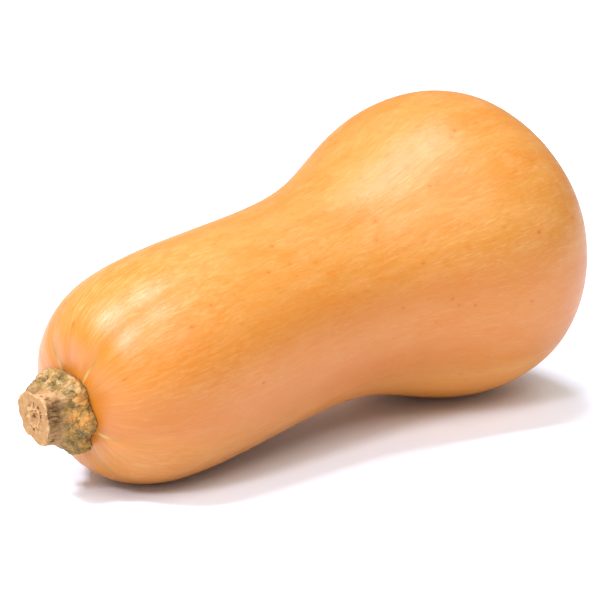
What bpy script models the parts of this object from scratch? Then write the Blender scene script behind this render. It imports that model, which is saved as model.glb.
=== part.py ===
"""A butternut squash lying on its side: the fruit, and the cut stem that it grew from.

Frame: metres, +X from the stem end towards the blossom end, +Z up. The origin is on the
ground, under the middle of the squash.
"""

import math

import bmesh
import bpy
import numpy as np
from mathutils import Matrix, Vector

# --- Fruit: length from stem end to blossom end, and the radius at shares of that length.
FRUIT_LENGTH = 0.2306
OUTLINE = [
    (0.02, 0.0266),
    (0.08, 0.0366),
    (0.17, 0.0406),
    (0.29, 0.0408),
    (0.43, 0.0400),
    (0.57, 0.0438),
    (0.71, 0.0570),
    (0.83, 0.0604),
    (0.92, 0.0524),
    (0.98, 0.0293),
]
STEM_END_CURVE = 0.160      # radius of curvature where the stem leaves the fruit
BLOSSOM_END_CURVE = 0.070   # radius of curvature at the blossom scar
AXIS_BOW = 0.0025           # how far the middle of the axis arches upwards
GROUND_SPOT_DEPTH = 0.0010  # how much the neck and the bulb flatten where they lie

# --- Stem: measured from the skin outwards, along the stem's own axis.
STEM_LENGTH = 0.0148
STEM_SINK = 0.0060          # extra length, cut back to the curve of the skin
STEM_DROP = math.radians(1.3)
STEM_SWING = math.radians(4.0)
STEM_LIFT = -0.0021         # the stem leaves the end a little off its middle:
STEM_ASIDE = 0.0044         # this far up, and this far to the side
STEM_OUTLINE = [
    (-0.0060, 0.0128),
    (-0.0020, 0.0133),
    (0.0008, 0.0138),
    (0.0026, 0.0137),
    (0.0048, 0.0120),
    (0.0070, 0.0096),
    (0.0100, 0.0083),
    (0.0140, 0.0083),
    (0.0148, 0.0079),
]
RIDGES = [
    (math.radians(50), 0.0018),
    (math.radians(-40), 0.0029),
    (math.radians(-115), 0.0013),
    (math.radians(-163), 0.0019),
    (math.radians(142), 0.0009),
]
RIDGE_WIDTH = math.radians(26)

# --- Resolution and fit.
SKIN_GAP = 0.0003           # space between the stem's foot and the skin
FRUIT_SIDES = 48
FRUIT_RINGS = 60
STEM_SIDES = 60
STEM_RINGS = 24
SHARP_EDGE = math.radians(40)


def clear_scene():
    for item in list(bpy.data.objects):
        bpy.data.objects.remove(item, do_unlink=True)


def make_collection(name):
    collection = bpy.data.collections.new(name)
    bpy.context.scene.collection.children.link(collection)
    return collection


def make_material(name, colour, roughness):
    material = bpy.data.materials.new(name)
    material.use_nodes = True
    shader = material.node_tree.nodes["Principled BSDF"]
    shader.inputs["Base Color"].default_value = (*colour, 1.0)
    shader.inputs["Roughness"].default_value = roughness
    shader.inputs["Metallic"].default_value = 0.0
    material.diffuse_color = (*colour, 1.0)
    return material


def add_object(name, bm, collection, parent, material=None):
    mesh = bpy.data.meshes.new(name)
    bm.to_mesh(mesh)
    bm.free()
    mesh.shade_smooth()
    mesh.set_sharp_from_angle(angle=SHARP_EDGE)
    if material:
        mesh.materials.append(material)
    item = bpy.data.objects.new(name, mesh)
    collection.objects.link(item)
    item.parent = parent
    return item


def make_cutter(item):
    item.hide_render = True
    item.display_type = "WIRE"


def cut(item, cutter):
    boolean = item.modifiers.new("cut", "BOOLEAN")
    boolean.operation = "DIFFERENCE"
    boolean.solver = "EXACT"
    boolean.object = cutter


# --- Curves -------------------------------------------------------------------------

def smooth_slopes(places, values):
    """Slopes of the smoothest cubic through the values, level at both ends."""
    count = len(places)
    steps = np.diff(places)
    rises = np.diff(values) / steps
    system = np.eye(count)
    known = np.zeros(count)
    for i in range(1, count - 1):
        before, after = steps[i - 1], steps[i]
        system[i, i - 1:i + 2] = after, 2 * (before + after), before
        known[i] = 3 * (after * rises[i - 1] + before * rises[i])
    return np.linalg.solve(system, known)


def smooth_curve(places, values):
    """A function that runs smoothly through the values at the given places."""
    slopes = smooth_slopes(places, values)

    def value_at(place):
        i = int(np.clip(np.searchsorted(places, place) - 1, 0, len(places) - 2))
        step = places[i + 1] - places[i]
        part = (place - places[i]) / step
        start = (1 + 2 * part) * values[i] + part * step * slopes[i]
        end = (3 - 2 * part) * values[i + 1] + (part - 1) * step * slopes[i + 1]
        return (1 - part) ** 2 * start + part ** 2 * end

    return value_at


# --- Fruit --------------------------------------------------------------------------

def turn_of(share):
    """Angle round a half circle, 0 at the stem end and pi at the blossom end."""
    return math.acos(1 - 2 * share)


def girth_curve():
    """Radius divided by the sine of the turn, which stays smooth over both round ends."""
    turns = [0.0] + [turn_of(share) for share, radius in OUTLINE] + [math.pi]
    girths = [math.sqrt(STEM_END_CURVE * FRUIT_LENGTH / 2)]
    girths += [radius / math.sin(turn_of(share)) for share, radius in OUTLINE]
    girths += [math.sqrt(BLOSSOM_END_CURVE * FRUIT_LENGTH / 2)]
    return smooth_curve(np.array(turns), np.array(girths))


def axis_height(share):
    return AXIS_BOW * 4 * share * (1 - share)


def fruit_bmesh(swell=0.0):
    """The fruit along its own axis, from the stem end at the origin towards +X."""
    girth = girth_curve()
    bm = bmesh.new()
    bmesh.ops.create_uvsphere(bm, u_segments=FRUIT_SIDES, v_segments=FRUIT_RINGS, radius=1.0)
    for vert in bm.verts:
        up, side, back = vert.co
        turn = math.acos(max(-1.0, min(1.0, back)))
        share = (1 - math.cos(turn)) / 2
        stretch = girth(turn)
        vert.co = (FRUIT_LENGTH * share, stretch * side, stretch * up + axis_height(share))
    bm.normal_update()
    for vert in bm.verts:
        vert.co += vert.normal * swell
    return bm


def resting_pose():
    """Tilt and height that lay the neck and the bulb on the ground together."""
    girth = girth_curve()
    shares = np.linspace(0.0, 1.0, 801)
    along = FRUIT_LENGTH * shares
    underside = np.array([axis_height(s) - girth(turn_of(s)) * math.sin(turn_of(s)) for s in shares])
    waist = np.argmax(np.where(abs(shares - 0.5) < 0.15, underside, -1.0))
    slope = 0.0
    for _ in range(12):
        neck = np.argmin((underside - slope * along)[:waist])
        bulb = waist + np.argmin((underside - slope * along)[waist:])
        slope = (underside[bulb] - underside[neck]) / (along[bulb] - along[neck])
    tilt = -math.atan(slope)
    lowest = along[neck] * math.sin(tilt) + underside[neck] * math.cos(tilt)
    return tilt, -lowest - GROUND_SPOT_DEPTH


def make_fruit(collection, parent, tilt, height):
    skin = make_material("squash_skin", (0.85, 0.42, 0.13), 0.38)
    fruit = add_object("fruit", fruit_bmesh(), collection, parent, skin)
    fruit.location.z = height
    fruit.rotation_euler.y = -tilt
    return fruit


def make_ground_cutter(collection, parent):
    """A slab whose top is the ground: it flattens the two spots that the fruit lies on."""
    thickness = 0.010
    bm = bmesh.new()
    bmesh.ops.create_cube(bm, size=1.0)
    bmesh.ops.scale(bm, vec=(2 * FRUIT_LENGTH, FRUIT_LENGTH, thickness), verts=bm.verts)
    slab = add_object("ground_cutter", bm, collection, parent)
    slab.location = (FRUIT_LENGTH / 2, 0.0, -thickness / 2)
    make_cutter(slab)
    return slab


# --- Stem ---------------------------------------------------------------------------

def ridge_height(angle):
    """How far the five ridges stand out of the stem at an angle round its axis."""
    height = 0.0
    for ridge, reach in RIDGES:
        away = (angle - ridge + math.pi) % (2 * math.pi) - math.pi
        height += reach * math.exp(-(away / RIDGE_WIDTH) ** 2)
    return height


def stem_bmesh():
    """The stem along +Z from below the skin to its cut end, with +X on its upper side."""
    places, radii = np.array(STEM_OUTLINE).T
    radius_at = smooth_curve(places, radii)
    bm = bmesh.new()
    bmesh.ops.create_cone(bm, cap_ends=True, segments=STEM_SIDES, radius1=1.0, radius2=1.0, depth=1.0)
    walls = [edge for edge in bm.edges if abs(edge.verts[0].co.z - edge.verts[1].co.z) > 0.5]
    bmesh.ops.subdivide_edges(bm, edges=walls, cuts=STEM_RINGS - 1, use_grid_fill=True)
    for vert in bm.verts:
        angle = math.atan2(vert.co.y, vert.co.x)
        place = (vert.co.z + 0.5) * (STEM_LENGTH + STEM_SINK) - STEM_SINK
        radius = radius_at(place) + ridge_height(angle)
        vert.co = (radius * math.cos(angle), radius * math.sin(angle), place)
    return bm


def make_stem(collection, parent, height):
    bark = make_material("stem_cork", (0.46, 0.30, 0.14), 0.75)
    stem = add_object("stem", stem_bmesh(), collection, parent, bark)
    outwards = Vector((
        -math.cos(STEM_DROP) * math.cos(STEM_SWING),
        math.cos(STEM_DROP) * math.sin(STEM_SWING),
        -math.sin(STEM_DROP),
    ))
    side = outwards.cross(Vector((0.0, 0.0, 1.0))).normalized()
    upper = side.cross(outwards)
    stem.matrix_local = Matrix((upper, side, outwards)).transposed().to_4x4()
    stem.location = upper * STEM_LIFT + side * STEM_ASIDE + Vector((0.0, 0.0, height))
    return stem


def make_skin_cutter(collection, parent, fruit):
    """The fruit grown by the gap, which gives the stem's foot the curve of the skin."""
    cutter = add_object("skin_cutter", fruit_bmesh(swell=SKIN_GAP), collection, parent)
    cutter.location = fruit.location
    cutter.rotation_euler = fruit.rotation_euler
    make_cutter(cutter)
    return cutter


# --- Whole squash -------------------------------------------------------------------

def centre_along_x(root, items):
    """Moves the whole squash so that its box is centred over the origin."""
    bpy.context.view_layer.update()
    depsgraph = bpy.context.evaluated_depsgraph_get()
    ends = []
    for item in items:
        shape = item.evaluated_get(depsgraph)
        ends += [(shape.matrix_world @ vert.co).x for vert in shape.data.vertices]
    root.location.x = -(min(ends) + max(ends)) / 2


def build():
    clear_scene()
    pieces = make_collection("butternut_squash")
    cutters = make_collection("cutters")
    root = bpy.data.objects.new("squash_centre", None)
    pieces.objects.link(root)

    tilt, height = resting_pose()
    fruit = make_fruit(pieces, root, tilt, height)
    stem = make_stem(pieces, root, height)
    cut(fruit, make_ground_cutter(cutters, root))
    cut(stem, make_skin_cutter(cutters, root, fruit))
    centre_along_x(root, [fruit, stem])


build()
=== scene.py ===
import math

import bpy
import numpy as np
from mathutils import Matrix, Vector, noise
from mathutils.bvhtree import BVHTree


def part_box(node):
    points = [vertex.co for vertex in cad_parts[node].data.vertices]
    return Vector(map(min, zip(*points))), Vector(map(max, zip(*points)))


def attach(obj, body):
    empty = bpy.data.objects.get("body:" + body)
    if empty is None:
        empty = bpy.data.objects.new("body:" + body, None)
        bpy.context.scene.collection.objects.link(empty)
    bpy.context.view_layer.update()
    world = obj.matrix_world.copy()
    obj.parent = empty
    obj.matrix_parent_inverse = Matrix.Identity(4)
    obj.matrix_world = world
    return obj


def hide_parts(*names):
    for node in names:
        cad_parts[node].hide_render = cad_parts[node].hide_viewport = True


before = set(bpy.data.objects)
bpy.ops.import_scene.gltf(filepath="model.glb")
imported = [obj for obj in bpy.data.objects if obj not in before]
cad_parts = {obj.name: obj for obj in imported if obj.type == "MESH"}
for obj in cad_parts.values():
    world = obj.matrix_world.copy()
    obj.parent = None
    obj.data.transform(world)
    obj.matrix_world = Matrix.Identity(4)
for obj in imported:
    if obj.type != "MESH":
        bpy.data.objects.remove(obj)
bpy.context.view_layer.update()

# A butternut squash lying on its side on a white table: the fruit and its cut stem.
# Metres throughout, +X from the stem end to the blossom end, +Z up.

MM = 0.001

# --- Fruit: the same outline as the solid that it stands for.
FRUIT_LENGTH = 0.2306
OUTLINE = [                 # share of the length, and radius there
    (0.02, 0.0266),
    (0.08, 0.0366),
    (0.17, 0.0406),
    (0.29, 0.0408),
    (0.43, 0.0400),
    (0.57, 0.0438),
    (0.71, 0.0570),
    (0.83, 0.0604),
    (0.92, 0.0524),
    (0.98, 0.0293),
]
STEM_END_CURVE = 0.160      # radius of the rounding at this end's pole
BLOSSOM_END_CURVE = 0.070
AXIS_BOW = 0.0025           # how far the axis arches up in its middle
LYING_TILT = math.radians(7.64)  # where the levelling of neck and bulb starts from
GROUND_SPOT_DEPTH = 0.6 * MM     # how much the neck and the bulb flatten where they lie
CAGE_SIDES = 48
CAGE_RINGS = 28
RING_CROWDING = 0.08        # how much closer the rings lie at the two ends
CAGE_SWELL = 1.0035         # the cage stands this much outside the smooth skin
FRUIT_LEVELS = 3            # how often the cage is subdivided
TILT_STEPS = 6              # steps of levelling the neck and the bulb
RING_REACH = 0.01 * MM      # points this near a ring's place along the axis are on the ring
SHOULDER = (0.020, 0.060)   # between these two places the end turns into the fruit's side
SKIN_RADIUS = 0.050         # radius of the straight cylinder that carries the skin's grain

# Shallow creases that run from the stem over the shoulder: angle round the fruit from its
# top where they leave the stem, angle further out, depth, half width, and the distance
# from the stem where they have faded out.
CREASES = [
    (math.radians(30), math.radians(34), 1.1 * MM, 3.4 * MM, 38 * MM),
    (math.radians(-27), math.radians(-33), 1.1 * MM, 3.2 * MM, 64 * MM),
    (math.radians(-134), math.radians(-108), 0.8 * MM, 3.0 * MM, 46 * MM),
    (math.radians(-184), math.radians(-158), 1.2 * MM, 3.4 * MM, 46 * MM),
    (math.radians(142), math.radians(136), 0.9 * MM, 3.2 * MM, 38 * MM),
    (math.radians(92), math.radians(88), 0.8 * MM, 3.2 * MM, 38 * MM),
    (math.radians(9), math.radians(5), 1.1 * MM, 3.0 * MM, 30 * MM),
    (math.radians(-6), math.radians(-9), 0.5 * MM, 2.2 * MM, 26 * MM),
    (math.radians(-70), math.radians(-66), 0.5 * MM, 3.4 * MM, 32 * MM),
]
VEINS = CREASES[:6]         # the creases that carry a thin green vein
CREASE_START = 12 * MM      # where a crease starts to fade and to swing
CREASE_TURN = 9 * MM        # distance over which a crease swings to its outer angle
CREASE_SHADE_START = 16 * MM      # where the painted shade in a crease starts to fade
CREASE_SHADE_WIDTH = 0.8          # half width of that painted shade as a share of the crease's
CALM_RADIUS = 11 * MM       # the two ends stay smooth within this radius
UNEVENNESS = [              # waves round the fruit and along it per metre, offset, and height
    (24, 14, 3.1, 0.55 * MM),
    (60, 11, 7.7, 0.22 * MM),
    (150, 60, 1.3, 0.05 * MM),
]

# --- Blossom end: a dimple with a small corky scar.
DIMPLE_RADIUS = 10 * MM
DIMPLE_DEPTH = 2.0 * MM
SCAR_RADIUS = 3.2 * MM
SCAR_RIM = (0.5 * MM, 1.0 * MM)     # height and half width
SCAR_KNOB = (0.9 * MM, 1.1 * MM)    # height and radius of the small knob in its middle

# --- Stem: measured from the skin outwards along the stem's own axis.
STEM_LENGTH = 0.0148
STEM_DROP = math.radians(1.3)
STEM_SWING = math.radians(4.0)
STEM_LIFT = -0.0021         # the stem leaves the end a little off its middle:
STEM_ASIDE = 0.0044         # this far up, and this far to the side
STEM_SIDES = 96
STEM_LEVELS = 2             # how often the stem's rings are subdivided
STEM_OUTLINE = [            # place along the stem, and radius there
    (-0.0060, 0.0120),
    (-0.0044, 0.0134),
    (-0.0030, 0.0143),
    (-0.0016, 0.0148),
    (-0.0002, 0.0150),
    (0.0011, 0.0150),
    (0.0024, 0.0147),
    (0.0036, 0.0141),
    (0.0047, 0.0131),
    (0.0057, 0.0118),
    (0.0066, 0.0107),
    (0.0076, 0.0099),
    (0.0088, 0.0094),
    (0.0101, 0.0092),
    (0.0115, 0.0091),
    (0.0128, 0.0091),
    (0.0138, 0.0092),
    (0.0144, 0.0091),
    (0.0147, 0.0088),
]
CUT_MIDDLE = (0.9 * MM, -1.4 * MM, 0)  # the pith lies a little off the stem's axis
CUT_RINGS = (               # radii of the rings over the cut end, as shares of the rim's
    0.93, 0.86, 0.79, 0.72, 0.66, 0.61, 0.57, 0.53,
    0.49, 0.45, 0.40, 0.34, 0.27, 0.19, 0.10,
)
CUT_FACING = (0.6, 0.95)    # how squarely a point faces outwards where the cut end starts
CUT_REACH = 2 * MM          # the cut end is within this distance of the stem's full length
FRILL_HEIGHT = 0.30 * MM    # the rings' even frill, and their large and small unevenness
FRILL_NOISES = [(460, 8.0, 1.3 * MM), (1300, 3.0, 0.6 * MM)]  # scale, offset and height
RING_LINE = (3.3 * MM, 0.55 * MM)        # distance from the pith and half width
SMALL_RING_LINE = (1.3 * MM, 0.40 * MM)
MOAT_LINE = (4.4 * MM, 0.55 * MM)        # the holes lie on the two moats
INNER_MOAT_LINE = (2.3 * MM, 0.40 * MM)
PIT_LINE = (0, 0.8 * MM)
SHANK_RADIUS = 9.1 * MM
CORNER_SPREAD = (-7, -3.5, 0, 3.5, 7)  # degrees over which the rim's corners are worn round
SHANK_RIM = [               # angle round the stem from its top, and reach of the rim there
    (-172, 8.6 * MM),
    (-146, 10.7 * MM),
    (-132, 10.8 * MM),
    (-117, 9.8 * MM),
    (-98, 10.1 * MM),
    (-70, 9.3 * MM),
    (-45, 11.3 * MM),
    (-22, 9.3 * MM),
    (-4, 8.9 * MM),
    (14, 9.7 * MM),
    (64, 10.0 * MM),
    (88, 8.2 * MM),
    (103, 7.3 * MM),
    (137, 8.3 * MM),
    (153, 7.6 * MM),
    (171, 6.6 * MM),
]
FURROW_SHADE_SIDES = [              # stretches of the shank with deeper grooves and painted shade: middle, half width, darkness
    (math.radians(-78), math.radians(42), 1.0),
    (math.radians(-138), math.radians(28), 0.55),
    (math.radians(12), math.radians(20), 0.9),
    (math.radians(104), math.radians(30), 1.0),
    (math.radians(172), math.radians(22), 0.8),
]
COLLAR_SHAPE = [            # angle, share of the plain reach, middle of the slope, steepness
    (-165, 1.12, 3.5 * MM, 0.55),
    (-142, 1.03, 3.9 * MM, 0.70),
    (-130, 1.00, 4.2 * MM, 0.80),
    (-118, 0.80, 4.6 * MM, 0.90),
    (-101, 1.16, 4.9 * MM, 1.00),
    (-85, 1.00, 4.9 * MM, 1.00),
    (-68, 0.80, 4.7 * MM, 1.00),
    (-48, 1.06, 4.8 * MM, 1.00),
    (-28, 0.86, 5.5 * MM, 0.95),
    (-4, 0.86, 7.0 * MM, 0.80),
    (20, 0.94, 6.8 * MM, 0.80),
    (42, 1.02, 7.2 * MM, 0.75),
    (80, 1.06, 8.0 * MM, 0.75),
    (120, 1.00, 6.0 * MM, 0.80),
    (160, 1.05, 4.0 * MM, 0.60),
]
COLLAR_MIDDLE = 4.7 * MM    # where the plain outline's slope has its middle
COLLAR_TOP = 8.6 * MM       # where the knobbly collar has turned into the shank
COLLAR_SHARP = 2.4 * MM     # over this much of the stem's length
RIDGES_START = 1 * MM       # the shank's ridges grow from here up to the collar's top
RIDGES_IN_COLLAR = 0.15     # share of the ridges that shows at the collar's foot
GROOVE_DEPTH = 0.5 * MM
GROOVE_RISE = (8 * MM, 12 * MM)     # the grooves deepen between these two places
PEBBLE_SCALES = (170, 430)  # large and fine pebbles per metre
SWIRL_SCALE = 260
LUMPS = (330, 5.0)          # scale and offset of the stem's noises
KNOBS = (800, 9.0)
GRIT = (1900, 2.0)
GROOVE_SCALE = 1500
WART_SHARPNESS = 1.2
RIPE_SHARPNESS = 0.7        # an orange patch spreads wider than its wart

# Warts and dents on the collar: angle, place along the stem, half width, height, how orange.
WARTS = [
    (math.radians(-58), 2.4 * MM, 2.6 * MM, 0.9 * MM, 1.0),
    (math.radians(-84), 5.9 * MM, 2.4 * MM, 0.6 * MM, 0.9),
    (math.radians(-94), 3.8 * MM, 2.6 * MM, 0.6 * MM, 0.8),
    (math.radians(-87), 1.4 * MM, 1.8 * MM, 0.7 * MM, 0.8),
    (math.radians(-104), 2.6 * MM, 2.2 * MM, 0.8 * MM, 0.1),
    (math.radians(-104), 6.4 * MM, 2.0 * MM, 0.5 * MM, 0.5),
    (math.radians(-120), 4.9 * MM, 2.2 * MM, 0.8 * MM, 0.3),
    (math.radians(-133), 1.4 * MM, 2.6 * MM, 0.8 * MM, 0.3),
    (math.radians(-140), 4.4 * MM, 2.8 * MM, 0.9 * MM, 0.1),
    (math.radians(-168), 1.0 * MM, 3.4 * MM, 1.2 * MM, 0.1),
    (math.radians(-40), 6.2 * MM, 2.6 * MM, 0.8 * MM, 0.1),
    (math.radians(-33), 1.4 * MM, 2.2 * MM, 0.7 * MM, 0.7),
    (math.radians(-17), 3.8 * MM, 2.0 * MM, 0.6 * MM, 0.4),
    (math.radians(-2), 3.0 * MM, 2.2 * MM, 0.7 * MM, 0.6),
    (math.radians(26), 9.2 * MM, 2.0 * MM, 1.7 * MM, 0.0),
    (math.radians(16), 3.8 * MM, 2.2 * MM, 1.2 * MM, 0.1),
    (math.radians(44), 1.6 * MM, 3.0 * MM, 1.0 * MM, 0.3),
    (math.radians(66), 6.0 * MM, 3.0 * MM, 1.2 * MM, 0.0),
    (math.radians(92), 2.0 * MM, 2.8 * MM, 1.2 * MM, 0.6),
    (math.radians(122), 3.6 * MM, 2.8 * MM, 1.2 * MM, 0.1),
    (math.radians(152), 1.6 * MM, 2.8 * MM, 1.1 * MM, 0.6),
    (math.radians(178), 4.4 * MM, 2.4 * MM, 0.9 * MM, 0.0),
    (math.radians(14), 6.7 * MM, 1.9 * MM, -2.3 * MM, 0.0),
    (math.radians(-10), 7.2 * MM, 1.6 * MM, -0.9 * MM, 0.0),
    (math.radians(-128), -1.6 * MM, 2.4 * MM, -1.2 * MM, 0.0),
]

# --- Camera and table.
CAMERA_TURN = math.radians(-43.44)
CAMERA_RISE = math.radians(15.7)
CAMERA_DISTANCE = 1.0
CAMERA_LENS = 160.7
CAMERA_AIM = Vector((0.0006, 0.0, 0.0513))
TABLE_SIZE = 12.0
WORLD_STRENGTH = 0.39
SOFTBOX_DISTANCE = 4.0
WHITE = (1.0, 1.0, 1.0)
COOL_WHITE = (0.94, 0.97, 1.15)
SOFTBOXES = [               # name, azimuth, elevation (degrees), side (metres), watts, colour
    ("left_softbox", 156, 57, 0.65, 120, COOL_WHITE),
    ("left_fill", 125, 50, 2.4, 16, WHITE),
    ("stem_side_fill", 200, 44, 0.8, 48, COOL_WHITE),
    ("right_softbox", 258, 58, 2.4, 64, WHITE),
    ("backdrop_glow", 165, 8, 2.4, 12, WHITE),
    ("overhead_softbox", 80, 84, 0.95, 84, COOL_WHITE),
]


# --- Small tools --------------------------------------------------------------------

def deselect_all():
    bpy.ops.object.select_all(action="DESELECT")


def name_active(name):
    item = bpy.context.active_object
    item.name = name
    item.data.name = name
    return item


def select_verts(item, wanted):
    """Selects in edit mode exactly the points whose place passes the test."""
    bpy.ops.object.mode_set(mode="OBJECT")
    for part in (item.data.polygons, item.data.edges, item.data.vertices):
        part.foreach_set("select", [False] * len(part))
    for vert in item.data.vertices:
        vert.select = wanted(vert.co)
    bpy.ops.object.mode_set(mode="EDIT")
    bpy.ops.mesh.select_mode(type="VERT")


def subdivide_smooth(item, levels):
    modifier = item.modifiers.new("smooth", "SUBSURF")
    modifier.levels = levels
    modifier.render_levels = levels
    bpy.ops.object.modifier_apply(modifier=modifier.name)


def read_points(item):
    points = np.empty(len(item.data.vertices) * 3)
    item.data.vertices.foreach_get("co", points)
    return points.reshape(-1, 3)


def read_normals(item):
    normals = np.empty(len(item.data.vertices) * 3)
    item.data.vertices.foreach_get("normal", normals)
    return normals.reshape(-1, 3)


def write_points(item, points):
    item.data.vertices.foreach_set("co", np.asarray(points).ravel())
    item.data.update()


def store_attribute(item, name, values):
    attribute = item.data.attributes.new(name, "FLOAT_VECTOR", "POINT")
    attribute.data.foreach_set("vector", np.asarray(values, dtype=float).ravel())


def smooth_slopes(places, values):
    """Slopes of the smoothest cubic through the values, level at both ends."""
    count = len(places)
    steps = np.diff(places)
    rises = np.diff(values) / steps
    system = np.eye(count)
    known = np.zeros(count)
    for i in range(1, count - 1):
        before, after = steps[i - 1], steps[i]
        system[i, i - 1:i + 2] = after, 2 * (before + after), before
        known[i] = 3 * (after * rises[i - 1] + before * rises[i])
    return np.linalg.solve(system, known)


def smooth_curve(places, values, at):
    """Runs smoothly through the values at the given places."""
    places, values, at = np.array(places), np.array(values), np.asarray(at)
    slopes = smooth_slopes(places, values)
    i = np.clip(np.searchsorted(places, at) - 1, 0, len(places) - 2)
    step = places[i + 1] - places[i]
    part = (at - places[i]) / step
    start = (1 + 2 * part) * values[i] + part * step * slopes[i]
    end = (3 - 2 * part) * values[i + 1] + (part - 1) * step * slopes[i + 1]
    return (1 - part) ** 2 * start + part ** 2 * end


def turn_gap(angle, centre):
    """Signed difference of two angles, between minus pi and pi."""
    return (angle - centre + math.pi) % (2 * math.pi) - math.pi


def fade(distance, start, end):
    """1 before start, 0 beyond end, smooth between."""
    part = np.clip((end - distance) / (end - start), 0.0, 1.0)
    return part * part * (3 - 2 * part)


def bell(values, middle, half_width):
    """1 at the middle, fading to 0 on both sides of it."""
    return np.exp(-((values - middle) / half_width) ** 2)


def noise_at(places):
    return np.array([noise.noise(Vector(place)) for place in places])


def pebbles_at(places):
    """Packed round pebbles: 0 in the cracks between them, towards 1 on their tops."""
    nearest = np.array([noise.voronoi(Vector(place))[0][:2] for place in places])
    return np.sqrt(np.clip(nearest[:, 1] - nearest[:, 0], 0, 1))


# --- Fruit shape --------------------------------------------------------------------

def turn_of(share):
    """Turn round the sphere at a share of the fruit's length."""
    return math.acos(1 - 2 * share)


def bow_at(share):
    """Rise of the slightly arched axis at a share of the fruit's length."""
    return AXIS_BOW * 4 * share * (1 - share)


def girth_at(turn):
    """Radius divided by the sine of the turn, which stays smooth over both round ends."""
    turns = [0.0] + [turn_of(share) for share, radius in OUTLINE] + [math.pi]
    girths = [math.sqrt(STEM_END_CURVE * FRUIT_LENGTH / 2)]
    girths += [radius / math.sin(turn_of(share)) for share, radius in OUTLINE]
    girths += [math.sqrt(BLOSSOM_END_CURVE * FRUIT_LENGTH / 2)]
    return smooth_curve(turns, girths, turn)


def shape_rings(item):
    """Moves and scales each ring of the sphere, from the stem end to the blossom end."""
    half = FRUIT_LENGTH / 2
    for ring in range(1, CAGE_RINGS):
        even = math.pi * ring / CAGE_RINGS
        turn = even - RING_CROWDING * math.sin(2 * even)
        place = half * (1 - math.cos(even))
        select_verts(item, lambda co: abs(co.x - place) < RING_REACH)
        share = (1 - math.cos(turn)) / 2
        scale = girth_at(turn) * math.sin(turn) / (half * math.sin(even))
        bpy.ops.transform.resize(value=(1, scale, scale), center_override=(place, 0, 0))
        move = FRUIT_LENGTH * share - place
        bpy.ops.transform.translate(value=(move, 0, bow_at(share)))
    bpy.ops.mesh.select_all(action="SELECT")
    bpy.ops.transform.resize(value=(CAGE_SWELL,) * 3, center_override=(half, 0, 0))
    bpy.ops.object.mode_set(mode="OBJECT")


def fruit_places(points):
    """Angle round the fruit from its top, distance from its axis, and place along it."""
    along = points[:, 0]
    share = np.clip(along / FRUIT_LENGTH, 0.0, 1.0)
    up = points[:, 2] - bow_at(share)
    angle = np.arctan2(points[:, 1], up)
    return angle, np.hypot(points[:, 1], up), along


def way_from_stem(radius, along):
    """Distance over the skin from the middle of the stem end, near enough."""
    return np.hypot(radius * fade(along, *SHOULDER), along)


def grain_places(angle, along):
    """The skin rolled onto a straight cylinder, so that its grain runs the same way all along."""
    return np.c_[SKIN_RADIUS * np.cos(angle), SKIN_RADIUS * np.sin(angle), along]


def crease_centre(crease, way):
    """Angle of a crease at a distance from the stem."""
    at_stem, further_out = crease[:2]
    beyond = np.clip(way - CREASE_START, 0, None)
    return further_out + (at_stem - further_out) * np.exp(-beyond / CREASE_TURN)


def across_crease(crease, angle, radius, way):
    """Distance over the skin to the middle of a crease."""
    return turn_gap(angle, crease_centre(crease, way)) * radius


def sculpt_fruit(item):
    """Creases at the stem, the blossom dimple and its scar, and soft unevenness."""
    points = read_points(item)
    angle, radius, along = fruit_places(points)
    way = way_from_stem(radius, along)
    from_blossom = np.hypot(radius, FRUIT_LENGTH - along)
    away = 1 - np.exp(-(radius / CALM_RADIUS) ** 4)
    depth = np.zeros(len(points))
    for crease in CREASES:
        deep, wide, long = crease[2:]
        across = across_crease(crease, angle, radius, way)
        depth += away * deep * bell(across, 0, wide) * fade(way, CREASE_START, long)
    grain = grain_places(angle, along)
    for around, lengthways, offset, height in UNEVENNESS:
        depth += away * height * noise_at(grain * (around, around, lengthways) + offset)

    rim_height, rim_width = SCAR_RIM
    knob_height, knob_radius = SCAR_KNOB
    rays = 1 + 0.35 * np.cos(5 * angle + 0.6) + 0.2 * np.cos(9 * angle)
    depth += DIMPLE_DEPTH * bell(from_blossom, 0, DIMPLE_RADIUS)
    depth -= rim_height * bell(from_blossom, SCAR_RADIUS, rim_width) * rays
    depth -= knob_height * bell(from_blossom, 0, knob_radius)
    write_points(item, points - read_normals(item) * depth[:, None])


def store_skin_map(item):
    """Stores what the skin's pattern follows.

    grain is the place on the rolled-out skin. skin_map holds the distances from the nearest
    vein, the stem and the blossom. The crease mask is 1 in the creases and 0 outside them;
    the skin's painted shade in the creases follows it.
    """
    points = read_points(item)
    angle, radius, along = fruit_places(points)
    way = way_from_stem(radius, along)
    from_vein = np.min([abs(across_crease(vein, angle, radius, way)) for vein in VEINS], axis=0)
    from_blossom = np.hypot(radius, FRUIT_LENGTH - along)
    # masks of the painted shade in each crease
    crease_shades = []
    for crease in CREASES:
        wide, long = CREASE_SHADE_WIDTH * crease[3], crease[4]
        across = across_crease(crease, angle, radius, way)
        crease_shades.append(bell(across, 0, wide) * fade(way, CREASE_SHADE_START, long))
    store_attribute(item, "crease_shade", np.repeat(np.max(crease_shades, axis=0), 3))
    store_attribute(item, "grain", grain_places(angle, along))
    store_attribute(item, "skin_map", np.c_[from_vein, way, from_blossom])


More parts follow.
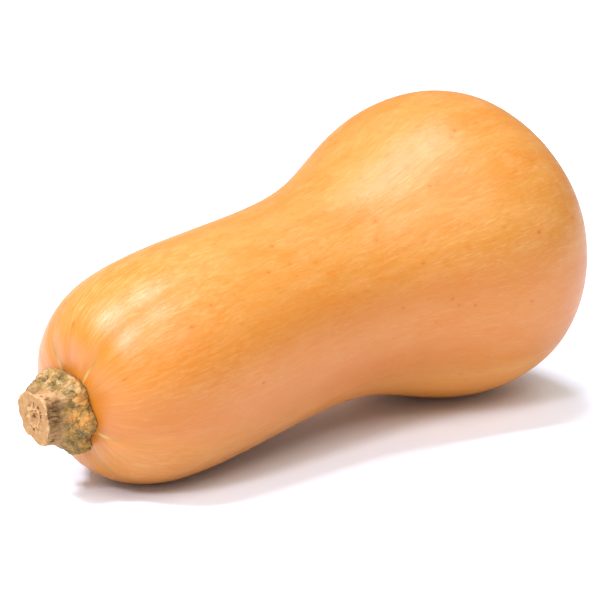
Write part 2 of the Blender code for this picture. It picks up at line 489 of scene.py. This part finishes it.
def lay_down(item):
    """Tilts the fruit until its neck and bulb lie level, and flattens the spots it lies on."""
    box_low, box_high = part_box("fruit")
    points = read_points(item)
    tilt = LYING_TILT
    for _ in range(TILT_STEPS):
        laid = points @ np.array(Matrix.Rotation(-tilt, 3, "Y")).T
        in_neck = laid[:, 0] < FRUIT_LENGTH / 2
        neck = laid[in_neck][np.argmin(laid[in_neck][:, 2])]
        bulb = laid[~in_neck][np.argmin(laid[~in_neck][:, 2])]
        tilt -= math.atan2(bulb[2] - neck[2], bulb[0] - neck[0])
    laid[:, 0] += (box_low[0] + box_high[0] - laid[:, 0].min() - laid[:, 0].max()) / 2
    laid[:, 2] -= laid[:, 2].min() + GROUND_SPOT_DEPTH
    laid[:, 2] = np.maximum(laid[:, 2], 0.0)
    write_points(item, laid)


def make_fruit():
    deselect_all()
    bpy.ops.mesh.primitive_uv_sphere_add(
        segments=CAGE_SIDES,
        ring_count=CAGE_RINGS,
        radius=FRUIT_LENGTH / 2,
        location=(FRUIT_LENGTH / 2, 0, 0),
        rotation=(0, -math.pi / 2, 0),
    )
    fruit = name_active("fruit_skin")
    bpy.ops.object.transform_apply(location=True, rotation=True, scale=True)
    shape_rings(fruit)
    subdivide_smooth(fruit, FRUIT_LEVELS)
    store_skin_map(fruit)
    sculpt_fruit(fruit)
    lay_down(fruit)
    bpy.ops.object.shade_smooth()
    return fruit


# --- Stem shape ---------------------------------------------------------------------

def rim_at(angle):
    """Reach of the five-ridged rim at an angle, with its corners worn round."""
    degrees = np.degrees(angle)
    corners, reaches = np.array(SHANK_RIM).T
    turned = [np.interp(degrees + shift, corners, reaches, period=360) for shift in CORNER_SPREAD]
    return np.mean(turned, axis=0)


def turn_stem_outline():
    """A stack of rings, pulled up from a circle, and closed over the cut end."""
    first_place, first_radius = STEM_OUTLINE[0]
    deselect_all()
    bpy.ops.mesh.primitive_circle_add(
        vertices=STEM_SIDES, radius=first_radius, fill_type="NGON", location=(0, 0, first_place)
    )
    stem = name_active("stem_bark")
    bpy.ops.object.transform_apply(location=True, rotation=True, scale=True)
    bpy.ops.object.mode_set(mode="EDIT")
    bpy.ops.mesh.select_all(action="SELECT")
    rim_radius = STEM_OUTLINE[-1][1]
    cut_rings = [(STEM_LENGTH, rim_radius * part) for part in CUT_RINGS]
    place, radius = first_place, first_radius
    for next_place, next_radius in STEM_OUTLINE[1:] + cut_rings:
        pull = {"value": (0, 0, next_place - place)}
        bpy.ops.mesh.extrude_region_move(TRANSFORM_OT_translate=pull)
        scale = next_radius / radius
        bpy.ops.transform.resize(value=(scale, scale, 1), center_override=(0, 0, next_place))
        place, radius = next_place, next_radius
    bpy.ops.mesh.select_all(action="SELECT")
    bpy.ops.mesh.normals_make_consistent(inside=False)
    bpy.ops.object.mode_set(mode="OBJECT")
    return stem


def stem_places(points):
    """Angle round the stem from its top, distance from its axis, and place along it."""
    angle = np.arctan2(points[:, 1], points[:, 0])
    return angle, np.hypot(points[:, 0], points[:, 1]), points[:, 2]


def collar_at(angle, place):
    """Reach of the collar at an angle, and the place on the plain outline that it follows."""
    corners, *columns = np.array(COLLAR_SHAPE).T
    degrees = np.degrees(angle)
    reach, middle, steepness = [np.interp(degrees, corners, c, period=360) for c in columns]
    return reach, COLLAR_MIDDLE + steepness * (place - middle)


def shape_ridges(item):
    """Gives the rings the shank's ridges, full at the cut, and the collar's uneven reach."""
    points = read_points(item)
    angle, radius, place = stem_places(points)
    places, radii = np.array(STEM_OUTLINE).T
    plain = np.interp(place, places, radii)
    flare = np.maximum(plain - SHANK_RADIUS, 0)
    reach, follows = collar_at(angle, place)
    uneven = reach * np.maximum(np.interp(follows, places, radii) - SHANK_RADIUS, 0)
    ridged = 1 - fade(follows, RIDGES_START, COLLAR_TOP)
    share = RIDGES_IN_COLLAR + (1 - RIDGES_IN_COLLAR) * ridged
    wanted = plain - flare + uneven + share * (rim_at(angle) - SHANK_RADIUS)
    grown = radius * wanted / plain
    write_points(item, np.c_[grown * np.cos(angle), grown * np.sin(angle), place])


def wart_heights(angle, radius, place):
    """Height of the warts and dents over the collar, and how orange the collar is there."""
    height = np.zeros(len(angle))
    dent = np.zeros(len(angle))
    orange = np.zeros(len(angle))
    for centre, along, wide, tall, ripe in WARTS:
        away = np.hypot(turn_gap(angle, centre) * radius, place - along)
        bulge = tall * np.exp(-WART_SHARPNESS * (away / wide) ** 2)
        height = np.maximum(height, bulge)
        dent = np.minimum(dent, bulge)
        patch = ripe * np.exp(-RIPE_SHARPNESS * (away / wide) ** 2)
        orange = np.maximum(orange, patch)
    return height + dent, orange


def cut_relief(points):
    """The cut end's heights, its brown stains and its pale crests.

    A frilled ring with holes round it surrounds a small ring and the pith's pit.
    """
    angle, radius = stem_places(points - CUT_MIDDLE)[:2]
    across = radius + FRILL_HEIGHT * np.cos(9 * angle + 0.9)
    for scale, offset, reach in FRILL_NOISES:
        across += reach * noise_at(points * scale + offset)
    ring = bell(across, *RING_LINE)
    small_ring = bell(across, *SMALL_RING_LINE)
    moat = bell(across, *MOAT_LINE)
    inner = bell(across, *INNER_MOAT_LINE)
    pit = bell(across, *PIT_LINE)
    round_spot = np.c_[np.cos(angle) * 7, np.sin(angle) * 7, np.full(len(angle), 0.4)]
    hole = np.clip(noise_at(round_spot + 4.3) * 4.0 - 0.3, 0, 1) * moat
    gap = np.clip(noise_at(round_spot + 24.3) * 3.0 - 0.3, 0, 1) * inner
    relief = 0.32 * ring + 0.26 * small_ring - 0.12 * moat - 0.6 * pit - 0.8 * hole - 0.5 * gap
    stain = np.clip(0.15 * moat + 0.8 * pit + hole + 0.8 * gap, 0, 1)
    return relief * MM, stain, np.maximum(ring, 0.7 * small_ring)


def furrow_shade_at(angle):
    """1 on the stretches of the shank with deeper grooves and painted shade, 0 on its pale ridges.
    """
    gaps = [(abs(turn_gap(angle, middle)), wide, dark) for middle, wide, dark in FURROW_SHADE_SIDES]
    return np.max([dark * fade(gap, 0.6 * wide, 1.3 * wide) for gap, wide, dark in gaps], axis=0)


def stem_noise(points, kind):
    scale, offset = kind
    return noise_at(points * scale + offset)


def sculpt_stem(item):
    """Warts and pebbles on the collar, grooves down the shank, and the cut end's pattern.

    Each kind of surface is stored too, because the bark's colours follow it.
    """
    points = read_points(item)
    normals = read_normals(item)
    angle, radius, place = stem_places(points)
    swirl = np.c_[tuple(noise_at(points * SWIRL_SCALE + offset) for offset in (0, 31, 67))]
    large_scale, fine_scale = PEBBLE_SCALES
    large = pebbles_at(points * large_scale + swirl * 0.7)
    fine = pebbles_at(points * fine_scale + swirl)
    lumps = stem_noise(points, LUMPS)
    knobs = stem_noise(points, KNOBS)
    grit = stem_noise(points, GRIT)

    on_cut = (1 - fade(normals[:, 2], *CUT_FACING)) * (place > STEM_LENGTH - CUT_REACH)
    follows = collar_at(angle, place)[1] + (1.6 * lumps + 0.8 * knobs) * MM
    collar = fade(follows, COLLAR_TOP - COLLAR_SHARP, COLLAR_TOP) * (1 - on_cut)
    on_shank = (1 - collar) * (1 - on_cut)
    wart, orange = wart_heights(angle, radius, place)

    ring = np.c_[SHANK_RADIUS * np.cos(angle), SHANK_RADIUS * np.sin(angle), place * 0.10]
    furrows = noise_at(ring * GROOVE_SCALE + swirl * 0.9 + grit[:, None] * 0.25)
    # stretches where the grooves deepen and the cork gets painted shade
    furrow_shade = furrow_shade_at(angle + 0.5 * lumps + 0.3 * knobs)
    groove = np.clip(-furrows * 2.2, 0, 1) * on_shank
    groove *= (0.2 + 0.8 * furrow_shade) * (0.35 + 0.65 * (1 - fade(place, *GROOVE_RISE)))

    share = radius / rim_at(angle)
    relief, stain, crest = cut_relief(points)
    rim = (1 - fade(share + 0.04 * lumps, 0.88, 0.98)) * np.clip(0.7 + 1.2 * knobs, 0, 1)
    edge = bell(share, 0.95, 0.05) * lumps

    bumps = 1.0 * large + 0.3 * fine - 0.65 + 0.6 * lumps + 0.3 * knobs + 0.12 * grit
    height = collar * (wart + bumps * MM)
    height += on_shank * (0.3 * lumps + 0.2 * knobs + 0.1 * grit) * MM - GROOVE_DEPTH * groove
    height += on_cut * (relief + (0.1 * knobs + 0.06 * grit + 0.3 * edge) * MM)
    write_points(item, points + normals * height[:, None])
    crack = 1 - np.clip(np.minimum(large * 1.5, 0.35 + fine * 1.6), 0, 1)
    store_attribute(item, "stem_place", points)
    store_attribute(item, "stem_collar", np.c_[collar, orange, crack * collar])
    # the shank's grooves and stretches, which the bark's painted shade follows
    store_attribute(item, "stem_shank", np.c_[groove, furrow_shade, place / STEM_LENGTH])
    store_attribute(item, "stem_cut", np.c_[on_cut, stain, np.maximum(crest, rim)])


def stem_end_of(fruit):
    """The pole of the fruit's mesh at the stem end, where the grain starts."""
    grain = np.empty(len(fruit.data.vertices) * 3)
    fruit.data.attributes["grain"].data.foreach_get("vector", grain)
    pole = int(np.argmin(grain.reshape(-1, 3)[:, 2]))
    return fruit.data.vertices[pole].co


def store_gaps(item, fruit):
    """Stores how far each point of the stem lies outside the fruit's skin; the painted shadow line
    at the collar's foot follows it.
    """
    faces = [face.vertices[:] for face in fruit.data.polygons]
    skin = BVHTree.FromPolygons(read_points(fruit).tolist(), faces)
    gaps = []
    for point in read_points(item):
        nearest, normal = skin.find_nearest(point)[:2]
        gaps.append((Vector(point) - nearest).dot(normal))
    store_attribute(item, "above_skin", np.repeat(gaps, 3))


def place_stem(item, fruit):
    """Sets the stem on the stem end of the fruit, pointing out along its own axis."""
    outwards = Vector((
        -math.cos(STEM_DROP) * math.cos(STEM_SWING),
        math.cos(STEM_DROP) * math.sin(STEM_SWING),
        -math.sin(STEM_DROP),
    ))
    side = outwards.cross(Vector((0, 0, 1))).normalized()
    upper = side.cross(outwards)
    turn = np.array((upper, side, outwards))
    stem_end = np.array(stem_end_of(fruit) + upper * STEM_LIFT + side * STEM_ASIDE)
    write_points(item, read_points(item) @ turn + stem_end)


def make_stem(fruit):
    stem = turn_stem_outline()
    shape_ridges(stem)
    subdivide_smooth(stem, STEM_LEVELS)
    sculpt_stem(stem)
    place_stem(stem, fruit)
    store_gaps(stem, fruit)
    bpy.ops.object.shade_smooth()
    return stem


# --- Materials ----------------------------------------------------------------------

def colour(red, green, blue):
    """A screen colour from 0 to 255 as the shader's linear one."""
    def linear(value):
        value /= 255
        return value / 12.92 if value <= 0.04045 else ((value + 0.055) / 1.055) ** 2.4
    return linear(red), linear(green), linear(blue), 1.0


class Material:
    """A node material, with one short method for each kind of node that it uses."""

    def __init__(self, name):
        self.material = bpy.data.materials.new(name)
        self.material.use_nodes = True
        self.tree = self.material.node_tree
        self.shader = self.tree.nodes["Principled BSDF"]

    def fill(self, socket, value):
        if isinstance(value, bpy.types.NodeSocket):
            self.tree.links.new(value, socket)
        else:
            socket.default_value = value

    def node(self, kind, sockets, **options):
        node = self.tree.nodes.new(kind)
        for name, value in options.items():
            setattr(node, name, value)
        for name, value in sockets.items():
            self.fill(node.inputs[name], value)
        return node

    def attribute(self, name):
        return self.node("ShaderNodeAttribute", {}, attribute_name=name).outputs["Vector"]

    def object_place(self):
        return self.node("ShaderNodeTexCoord", {}).outputs["Object"]

    def split(self, vector):
        return self.node("ShaderNodeSeparateXYZ", {"Vector": vector}).outputs

    def scaled(self, vector, scale):
        return self.node("ShaderNodeMapping", {"Vector": vector, "Scale": scale}).outputs["Vector"]

    def pattern(self, vector, stretch, scale, detail, roughness, distortion):
        """Noise that is drawn out along the third axis where stretch is below 1."""
        sockets = {
            "Vector": self.scaled(vector, (1, 1, stretch)), "Scale": scale, "Detail": detail,
            "Roughness": roughness, "Distortion": distortion,
        }
        return self.node("ShaderNodeTexNoise", sockets).outputs["Fac"]

    def spots(self, vector, scale):
        """Distance to the nearest of many scattered points."""
        sockets = {"Vector": vector, "Scale": scale}
        return self.node("ShaderNodeTexVoronoi", sockets).outputs["Distance"]

    def range(self, value, low, high, new_low=0.0, new_high=1.0):
        """Turns low to high into new_low to new_high, smoothly, and holds both ends."""
        sockets = {
            "Value": value, "From Min": low, "From Max": high,
            "To Min": new_low, "To Max": new_high,
        }
        node = self.node("ShaderNodeMapRange", sockets, interpolation_type="SMOOTHSTEP")
        return node.outputs["Result"]

    def math(self, operation, first, second):
        node = self.node("ShaderNodeMath", {}, operation=operation)
        self.fill(node.inputs[0], first)
        self.fill(node.inputs[1], second)
        return node.outputs[0]

    def add(self, first, second):
        return self.math("ADD", first, second)

    def times(self, first, second):
        return self.math("MULTIPLY", first, second)

    def mix(self, factor, first, second):
        """The second colour over the first one, as far as the factor says."""
        node = self.node("ShaderNodeMix", {"Factor": factor}, data_type="RGBA")
        colour_a, colour_b, result = 6, 7, 2  # this node's colour sockets share their names
        self.fill(node.inputs[colour_a], first)
        self.fill(node.inputs[colour_b], second)
        return node.outputs[result]

    def bump(self, height, distance, strength):
        sockets = {"Height": height, "Distance": distance, "Strength": strength}
        return self.node("ShaderNodeBump", sockets).outputs["Normal"]

    def finish(self, **sockets):
        """Sets the shader's own sockets and hands over the material."""
        for name, value in sockets.items():
            self.fill(self.shader.inputs[name.replace("_", " ")], value)
        return self.material


SKIN = {
    "tan": colour(197, 132, 51),
    "amber": colour(194, 121, 32),
    "patch": colour(198, 132, 60),
    "golden": colour(196, 114, 20),
    "mottle": colour(188, 106, 20),
    "wisp": colour(212, 155, 88),
    "fibre": colour(218, 167, 106),
    "streak": colour(202, 122, 22),
    "neck": colour(208, 152, 72),
    "pale_ray": colour(218, 168, 98),
    "dark_ray": colour(204, 118, 14),
    # painted shade in the creases near the stem
    "crease_shade": colour(204, 120, 12),
    # painted shade on the lower side and under the neck
    "shaded_side": colour(196, 104, 6),
    "low_neck_shade": colour(184, 98, 8),
    # a paler ground spot under the bulb, partly painted bounce light from the table
    "underside": colour(228, 144, 50),
    "speck_halo": colour(194, 110, 8),
    "speck": colour(170, 90, 10),
    "beside_vein": colour(202, 122, 18),
    "vein_root": colour(196, 164, 92),
    "vein": colour(152, 124, 38),
    "round_scar": colour(206, 148, 92),
    "scar": colour(146, 104, 66),
    "scar_middle": colour(84, 56, 34),
}
SKIN_PATTERNS = {           # stretch along the fruit, scale, detail, roughness, distortion
    "bands": (0.3, 62, 4, 0.6, 0.6),
    "patches": (0.6, 120, 4, 0.6, 0.5),
    "mottles": (0.7, 460, 3, 0.6, 0.4),
    "wisps": (0.14, 620, 4, 0.65, 1.8),
    "fibres": (0.09, 1500, 4, 0.6, 1.6),
    "golden": (0.55, 85, 5, 0.6, 0.8),
    "streaks": (0.06, 420, 3, 0.5, 0.0),
    "rays": (0.3, 430, 4, 0.6, 1.3),
    "wobble": (1, 180, 2, 0.5, 0.0),
}

# Distances from the stem over the skin, in metres, between which a tone or gloss fades.
NECK_END = (0.020, 0.120)
RAYS_END = (0.030, 0.080)
STREAKS_END = (0.030, 0.110)
LOW_NECK_SHADE_END = (0.11, 0.17)
GROUND_SPOT_AND_BOUNCE_START = (0.09, 0.15)
BESIDE_VEIN_END = (0.016, 0.050)
VEINS_END = (0.018, 0.042)
VEIN_ROOT_END = (0.015, 0.020)
GLOSSY_END = (0.040, 0.110)

# Distances from a vein's middle and from the blossom scar's middle, in the same way.
VEIN_EDGE = (0.0001, 0.0007)
VEIN_AMBER = (0.0005, 0.0032)
SCAR_ROUND = (0.005, 0.011)
SCAR_EDGE = (0.0030, 0.0046)
SCAR_CORE = (0.0008, 0.0018)

# Heights over the table, in metres, between which the painted shade on the lower skin, and the
# paler ground spot with painted bounce light under the bulb, fade.
SHADED_SIDE_START = (0.018, 0.030)
SHADED_SIDE_END = (0.054, 0.078)
LOW_NECK_SHADE_TOP = (0.030, 0.048)
GROUND_SPOT_AND_BOUNCE_TOP = (0.012, 0.028)

SPECK_SCALE = 130
SPECK_STRETCH = 0.8


def skin_ground(m, seen):
    """Bands, patches and mottles of tan and amber, and the pale wisps and fibres along them."""
    tan = m.mix(m.range(seen["bands"], 0.36, 0.62), SKIN["tan"], SKIN["amber"])
    tan = m.mix(m.range(seen["patches"], 0.46, 0.66, 0, 0.6), tan, SKIN["patch"])
    tan = m.mix(m.range(seen["golden"], 0.50, 0.66, 0, 0.55), tan, SKIN["golden"])
    tan = m.mix(m.range(seen["mottles"], 0.5, 0.72, 0, 0.35), tan, SKIN["mottle"])
    strength = m.range(seen["bands"], 0.3, 0.66, 0.5, 0.16)
    tan = m.mix(m.times(m.range(seen["wisps"], 0.48, 0.74), strength), tan, SKIN["wisp"])
    strength = m.range(seen["patches"], 0.35, 0.62, 0.16, 0.44)
    return m.mix(m.times(m.range(seen["fibres"], 0.47, 0.72), strength), tan, SKIN["fibre"])


def skin_of_neck(m, tan, seen, way):
    """Golden streaks, and near the stem a yellower skin with pale and dark rays, and painted shade
    in the creases.
    """
    strength = m.range(way, *STREAKS_END, 0.75, 0.15)
    tan = m.mix(m.times(m.range(seen["streaks"], 0.5, 0.68), strength), tan, SKIN["streak"])
    strength = m.range(way, *NECK_END, 0.36, 0)
    tan = m.mix(m.times(strength, m.range(seen["patches"], 0.3, 0.6, 0.4, 1)), tan, SKIN["neck"])
    strength = m.range(way, *RAYS_END, 0.5, 0)
    tan = m.mix(m.times(m.range(seen["rays"], 0.46, 0.66), strength), tan, SKIN["pale_ray"])
    strength = m.range(way, *RAYS_END, 0.4, 0)
    tan = m.mix(m.times(m.range(seen["rays"], 0.34, 0.48, 1, 0), strength), tan, SKIN["dark_ray"])
    # painted shade: a deeper orange in the creases
    crease_shade = m.split(m.attribute("crease_shade"))[0]
    return m.mix(m.times(crease_shade, 0.6), tan, SKIN["crease_shade"])


def skin_of_low_side(m, tan, way):
    """Painted shade: a redder, darker lower side and a browner neck underside; under the bulb a
    paler ground spot, partly painted bounce light.
    """
    height = m.split(m.object_place())[2]
    # painted shade: a redder, darker band on the lower side
    low = m.times(m.range(height, *SHADED_SIDE_START), m.range(height, *SHADED_SIDE_END, 1, 0))
    tan = m.mix(m.times(low, 0.5), tan, SKIN["shaded_side"])
    # painted shade under the neck
    low = m.times(m.range(way, *LOW_NECK_SHADE_END, 0.45, 0), m.range(height, *LOW_NECK_SHADE_TOP, 1, 0))
    tan = m.mix(low, tan, SKIN["low_neck_shade"])
    # paler ground spot under the bulb, partly painted bounce light from the table
    low = m.times(m.range(height, *GROUND_SPOT_AND_BOUNCE_TOP, 0.55, 0), m.range(way, *GROUND_SPOT_AND_BOUNCE_START))
    return m.mix(low, tan, SKIN["underside"])


def skin_specks(m, tan, grain, mottles):
    """Scattered brown specks, each in a soft amber halo."""
    spots = m.spots(m.scaled(grain, (1, 1, SPECK_STRETCH)), SPECK_SCALE)
    spots = m.add(spots, m.range(mottles, 0.3, 0.7, -0.04, 0.04))
    tan = m.mix(m.range(spots, 0.04, 0.24, 0.5, 0), tan, SKIN["speck_halo"])
    return m.mix(m.range(spots, 0.02, 0.08, 0.7, 0), tan, SKIN["speck"])


def skin_veins(m, tan, across, way, wobble):
    """Thin green veins that run out from the stem, paler at their root, with amber beside them."""
    amber = m.mix(m.range(way, *BESIDE_VEIN_END, 1, 0), tan, SKIN["beside_vein"])
    tan = m.mix(m.range(across, *VEIN_AMBER, 0.45, 0), tan, amber)
    edge = m.add(across, m.range(wobble, 0.3, 0.7, -0.0003, 0.0003))
    vein = m.times(m.range(edge, *VEIN_EDGE, 1, 0), m.range(way, *VEINS_END, 0.85, 0))
    green = m.mix(m.range(way, *VEIN_ROOT_END), SKIN["vein_root"], SKIN["vein"])
    return m.mix(vein, tan, green)


def skin_scar(m, tan, from_blossom, wobble):
    """The corky scar where the blossom was."""
    scar = m.add(from_blossom, m.range(wobble, 0.3, 0.7, -0.0008, 0.0008))
    tan = m.mix(m.range(scar, *SCAR_ROUND, 0.5, 0), tan, SKIN["round_scar"])
    tan = m.mix(m.range(scar, *SCAR_EDGE, 0.9, 0), tan, SKIN["scar"])
    return m.mix(m.range(scar, *SCAR_CORE, 0.8, 0), tan, SKIN["scar_middle"])


def skin_material():
    """Waxy orange skin: soft bands and patches, pale wisps along it, specks and green veins."""
    m = Material("waxy_skin")
    grain = m.attribute("grain")
    across, way, from_blossom = m.split(m.attribute("skin_map"))
    seen = {name: m.pattern(grain, *settings) for name, settings in SKIN_PATTERNS.items()}

    tan = skin_ground(m, seen)
    tan = skin_of_neck(m, tan, seen, way)
    tan = skin_of_low_side(m, tan, way)
    tan = skin_specks(m, tan, grain, seen["mottles"])
    tan = skin_veins(m, tan, across, way, seen["wobble"])
    tan = skin_scar(m, tan, from_blossom, seen["wobble"])

    height = m.add(m.times(seen["fibres"], 0.6), seen["mottles"])
    height = m.add(height, m.times(seen["streaks"], 1.2))
    roughness = m.range(way, *GLOSSY_END, 0.33, 0.40)
    roughness = m.add(roughness, m.range(seen["streaks"], 0.35, 0.65, 0, 0.05))
    return m.finish(
        Base_Color=tan,
        Roughness=roughness,
        Normal=m.bump(height, distance=0.0005, strength=0.24),
        Specular_IOR_Level=0.5,
    )


BARK = {
    "pale_cork": (colour(180, 134, 82), colour(208, 162, 112)),
    # painted shade: the darker cork for the stretches between the ridges
    "shaded_cork": (colour(112, 82, 42), colour(158, 118, 66)),
    "cork_fibre": colour(178, 134, 84),
    # painted shade in the grooves
    "groove": colour(84, 58, 30),
    "sawn_edge": colour(212, 168, 116),
    "olive": (colour(96, 78, 32), colour(166, 126, 58)),
    "golden_knob": colour(182, 130, 44),
    "collar_fibre": colour(206, 172, 112),
    "flake": colour(212, 176, 120),
    "ripe": (colour(188, 122, 24), colour(222, 154, 78)),
    "fleck": colour(92, 72, 32),
    "crack": colour(78, 60, 28),
    # painted shadow where the collar meets the skin
    "foot": colour(60, 42, 20),
    "grit": colour(230, 210, 172),
    "face": (colour(178, 128, 72), colour(200, 152, 94)),
    "face_fleck": colour(158, 106, 58),
    "crest": colour(220, 174, 120),
    "stain": colour(116, 68, 30),
}
BARK_PATTERNS = {           # stretch along the stem, scale, detail, roughness, distortion
    "blotches": (1, 260, 4, 0.6, 0.0),
    "clouds": (1, 400, 5, 0.65, 0.0),
    "flecks": (1, 1100, 5, 0.7, 0.0),
    "grit": (1, 2600, 4, 0.7, 0.0),
    "drawn_out": (0.2, 1500, 3, 0.6, 0.0),
}
FLAKY_START = (0.006, 0.013)    # distance up from the stem's axis where flakes set in
FOOT_SHADOW_LINE = (0.0001, 0.0007)    # height over the skin of the painted shadow line at the collar's foot


def shank_tone(m, seen):
    """Dry cork with painted shade, darker on the stretches between the ridges and in the grooves;
    pale along the sawn edge.
    """
    groove, furrow_shade, height_share = m.split(m.attribute("stem_shank"))
    # painted shade: a darker copy of the cork on the stretches between the ridges
    pale = m.mix(m.range(seen["clouds"], 0.35, 0.65), *BARK["pale_cork"])
    dark = m.mix(m.range(seen["clouds"], 0.35, 0.65), *BARK["shaded_cork"])
    cork = m.mix(furrow_shade, pale, dark)
    cork = m.mix(m.range(seen["drawn_out"], 0.52, 0.68, 0, 0.45), cork, BARK["cork_fibre"])
    # painted shade in the grooves
    cork = m.mix(m.range(groove, 0.2, 0.8, 0, 0.65), cork, BARK["groove"])
    return m.mix(m.range(height_share, 0.955, 0.985, 0, 0.8), cork, BARK["sawn_edge"])


def collar_tone(m, seen, from_axis, orange, crack):
    """Olive, brown and golden knobs, flaky on the upper side, with a painted shadow line at the
    foot.
    """
    clouds, flecks = seen["clouds"], seen["flecks"]
    above_skin = m.split(m.attribute("above_skin"))[0]
    knobs = m.mix(m.range(seen["blotches"], 0.34, 0.64), *BARK["olive"])
    knobs = m.mix(m.range(clouds, 0.46, 0.68, 0, 0.8), knobs, BARK["golden_knob"])
    knobs = m.mix(m.range(seen["drawn_out"], 0.54, 0.72, 0, 0.5), knobs, BARK["collar_fibre"])
    flaky = m.times(m.range(from_axis, *FLAKY_START), m.range(clouds, 0.44, 0.6))
    knobs = m.mix(m.times(flaky, 0.75), knobs, BARK["flake"])
    ripe = m.mix(m.range(clouds, 0.36, 0.62), *BARK["ripe"])
    patchy = m.add(orange, m.range(flecks, 0.3, 0.7, -0.4, 0.3))
    knobs = m.mix(m.range(patchy, 0.3, 0.85, 0, 0.88), knobs, ripe)
    knobs = m.mix(m.range(flecks, 0.30, 0.44, 0.45, 0), knobs, BARK["fleck"])
    knobs = m.mix(m.range(crack, 0.45, 1.0, 0, 0.6), knobs, BARK["crack"])
    # painted shadow line where the collar meets the skin
    knobs = m.mix(m.range(above_skin, *FOOT_SHADOW_LINE, 0.8, 0), knobs, BARK["foot"])
    return m.mix(m.range(seen["grit"], 0.60, 0.68, 0, 0.75), knobs, BARK["grit"])


def cut_tone(m, seen, stain, crest):
    """The sawn face: speckled cork, paler on its crests, brown in its holes and its pit."""
    face = m.mix(m.range(seen["clouds"], 0.35, 0.7), *BARK["face"])
    face = m.mix(m.range(seen["flecks"], 0.5, 0.66, 0, 0.5), face, BARK["face_fleck"])
    face = m.mix(m.range(crest, 0.4, 1.0, 0, 0.8), face, BARK["crest"])
    return m.mix(m.range(stain, 0.15, 0.8, 0, 0.9), face, BARK["stain"])


def bark_material():
    """Dry cork on the shank and the cut end, and a knobbly olive and golden collar."""
    m = Material("corky_bark")
    place = m.attribute("stem_place")
    collar, orange, crack = m.split(m.attribute("stem_collar"))
    on_cut, stain, crest = m.split(m.attribute("stem_cut"))
    from_axis = m.split(place)[0]
    seen = {name: m.pattern(place, *settings) for name, settings in BARK_PATTERNS.items()}

    knobs = collar_tone(m, seen, from_axis, orange, crack)
    tone = m.mix(collar, shank_tone(m, seen), knobs)
    tone = m.mix(on_cut, tone, cut_tone(m, seen, stain, crest))
    height = m.add(seen["flecks"], m.times(seen["grit"], 0.5))
    return m.finish(
        Base_Color=tone,
        Roughness=m.range(seen["blotches"], 0.3, 0.7, 0.55, 0.75),
        Normal=m.bump(height, distance=0.0007, strength=0.85),
        Specular_IOR_Level=0.35,
    )


# --- Table, light and camera --------------------------------------------------------

PAPER = ((0.89, 0.94, 0.98, 1), (0.91, 0.96, 1.0, 1))
PAPER_PATTERN = (1, 40, 2, 0.5, 0.0)    # stretch, scale, detail, roughness, distortion


def table_material():
    """Matt white paper with hardly any cloudiness."""
    m = Material("white_table")
    clouds = m.pattern(m.object_place(), *PAPER_PATTERN)
    return m.finish(Base_Color=m.mix(clouds, *PAPER), Roughness=0.9, Specular_IOR_Level=0.0)


def make_table():
    deselect_all()
    bpy.ops.mesh.primitive_plane_add(size=TABLE_SIZE, location=(0, 0, 0))
    table = name_active("white_table")
    table.data.materials.append(table_material())


def add_softbox(name, azimuth, elevation, size, power, tint):
    """A square area light, placed round the middle of the squash and aimed at it."""
    light = bpy.data.lights.new(name, "AREA")
    light.shape = "SQUARE"
    light.size = size
    light.energy = power
    light.color = tint
    softbox = bpy.data.objects.new(name, light)
    bpy.context.scene.collection.objects.link(softbox)
    azimuth, elevation = math.radians(azimuth), math.radians(elevation)
    towards = Vector((
        math.cos(azimuth) * math.cos(elevation),
        math.sin(azimuth) * math.cos(elevation),
        math.sin(elevation),
    ))
    softbox.location = CAMERA_AIM + towards * SOFTBOX_DISTANCE
    softbox.rotation_euler = towards.to_track_quat("Z", "Y").to_euler()


def make_world():
    world = bpy.data.worlds.new("studio")
    world.use_nodes = True
    background = world.node_tree.nodes["Background"]
    background.inputs["Color"].default_value = (1.0, 1.0, 1.0, 1.0)
    background.inputs["Strength"].default_value = WORLD_STRENGTH
    bpy.context.scene.world = world


def make_camera():
    back = Vector((
        math.sin(CAMERA_TURN) * math.cos(CAMERA_RISE),
        -math.cos(CAMERA_TURN) * math.cos(CAMERA_RISE),
        math.sin(CAMERA_RISE),
    ))
    camera_data = bpy.data.cameras.new("camera")
    camera_data.lens = CAMERA_LENS
    camera = bpy.data.objects.new("camera", camera_data)
    camera.location = CAMERA_AIM + back * CAMERA_DISTANCE
    camera.rotation_euler = back.to_track_quat("Z", "Y").to_euler()
    bpy.context.scene.collection.objects.link(camera)
    bpy.context.scene.camera = camera


def make_scene():
    fruit = make_fruit()
    fruit.data.materials.append(skin_material())
    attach(fruit, "root")
    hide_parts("fruit")

    stem = make_stem(fruit)
    stem.data.materials.append(bark_material())
    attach(stem, "root")
    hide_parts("stem")

    make_table()
    make_world()
    for softbox in SOFTBOXES:
        add_softbox(*softbox)
    make_camera()
    bpy.context.scene.view_settings.view_transform = "Standard"


make_scene()
